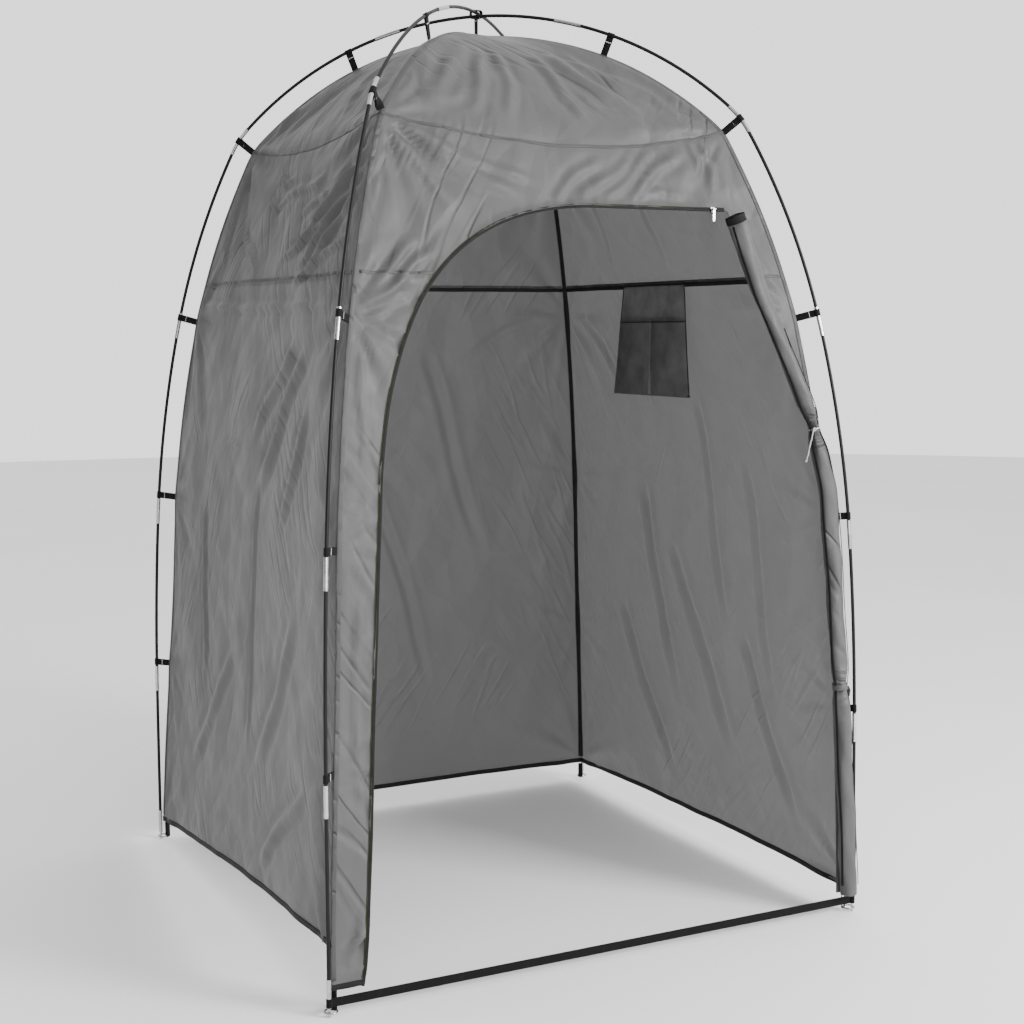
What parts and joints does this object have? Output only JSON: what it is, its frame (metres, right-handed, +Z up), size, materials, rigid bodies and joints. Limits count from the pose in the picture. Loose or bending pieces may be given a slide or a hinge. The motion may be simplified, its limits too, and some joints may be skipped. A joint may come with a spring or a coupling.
{
  "type": "privacy shower tent",
  "caption": "Free-standing square privacy tent with a rolled zip door, hung by webbing straps inside two crossed shock-corded poles, with an organiser inside.",
  "frame": {"origin": "middle of the square footprint, on the ground", "axes": "+Z up, the door wall faces -Y, and +X is to the right as one walks in, on the side where the door is rolled up"},
  "size_m": [1.3176, 1.3453, 2.1155],
  "materials": {
    "fibreglass": "satin black",
    "steel": "bright",
    "elastic": "braided",
    "webbing": "woven webbing",
    "tent_fabric": "coated polyester taffeta",
    "binding": "woven tape",
    "zip_tape": "woven tape with a nylon coil",
    "zip_metal": "bright",
    "tie_cord": "braided cord",
    "mesh": "open mesh"
  },
  "bodies": {
    "tent": {"front_left_leg_section_1": "fibreglass", "front_left_leg_section_2": "fibreglass", "front_left_leg_section_3": "fibreglass", "front_left_leg_section_4": "fibreglass", "front_right_leg_section_1": "fibreglass", "front_right_leg_section_2": "fibreglass", "front_right_leg_section_3": "fibreglass", "front_right_leg_section_4": "fibreglass", "back_right_leg_section_1": "fibreglass", "back_right_leg_section_2": "fibreglass", "back_right_leg_section_3": "fibreglass", "back_right_leg_section_4": "fibreglass", "back_left_leg_section_1": "fibreglass", "back_left_leg_section_2": "fibreglass", "back_left_leg_section_3": "fibreglass", "back_left_leg_section_4": "fibreglass", "lower_pole_roof_section_right": "fibreglass", "lower_pole_roof_section_middle": "fibreglass", "lower_pole_roof_section_left": "fibreglass", "upper_pole_roof_section_back": "fibreglass", "upper_pole_roof_section_middle": "fibreglass", "upper_pole_roof_section_front": "fibreglass", "lower_pole_ferrules": "steel", "upper_pole_ferrules": "steel", "lower_pole_elbows": "steel", "upper_pole_elbows": "steel", "lower_pole_shock_cord": "elastic", "upper_pole_shock_cord": "elastic", "pole_tips": "steel", "foot_rings": "steel", "foot_webbing": "webbing", "threshold_strap": "webbing", "front_left_straps": "webbing", "front_right_straps": "webbing", "back_right_straps": "webbing", "back_left_straps": "webbing", "apex_strap": "webbing", "left_wall_lower": "tent_fabric", "left_wall_upper": "tent_fabric", "back_wall_lower": "tent_fabric", "back_wall_upper": "tent_fabric", "right_wall_lower": "tent_fabric", "right_wall_upper": "tent_fabric", "front_left_panel": "tent_fabric", "front_upper_panel": "tent_fabric", "front_right_panel": "tent_fabric", "roof_front": "tent_fabric", "roof_right": "tent_fabric", "roof_back": "tent_fabric", "roof_left": "tent_fabric", "edge_bindings": "binding", "zip_tape": "zip_tape", "door_roll": "tent_fabric", "door_tie_upper": "tie_cord", "door_tie_lower": "tent_fabric", "tie_tail": "tie_cord"},
    "slider": {"zip_slider": "zip_metal"},
    "pull": {"zip_pull": "zip_metal"},
    "organiser": {"organiser_back": "mesh", "organiser_pockets": "mesh"}
  },
  "joints": [
    {"name": "zip_slide", "type": "slide", "parent": "tent", "child": "slider", "axis": [-1, 0, 0], "range_m": [0, 0.27]},
    {"name": "zip_pull_swing", "type": "hinge", "parent": "slider", "child": "pull", "pos_m": [0.352, -0.49358, 1.62643], "axis": [-1, 0, 0], "range_deg": [-3, 120]},
    {"name": "organiser_swing", "type": "hinge", "parent": "tent", "child": "organiser", "pos_m": [0.5194, 0.05, 1.476], "axis": [0, 1, 0], "range_deg": [-4, 60]}
  ]
}
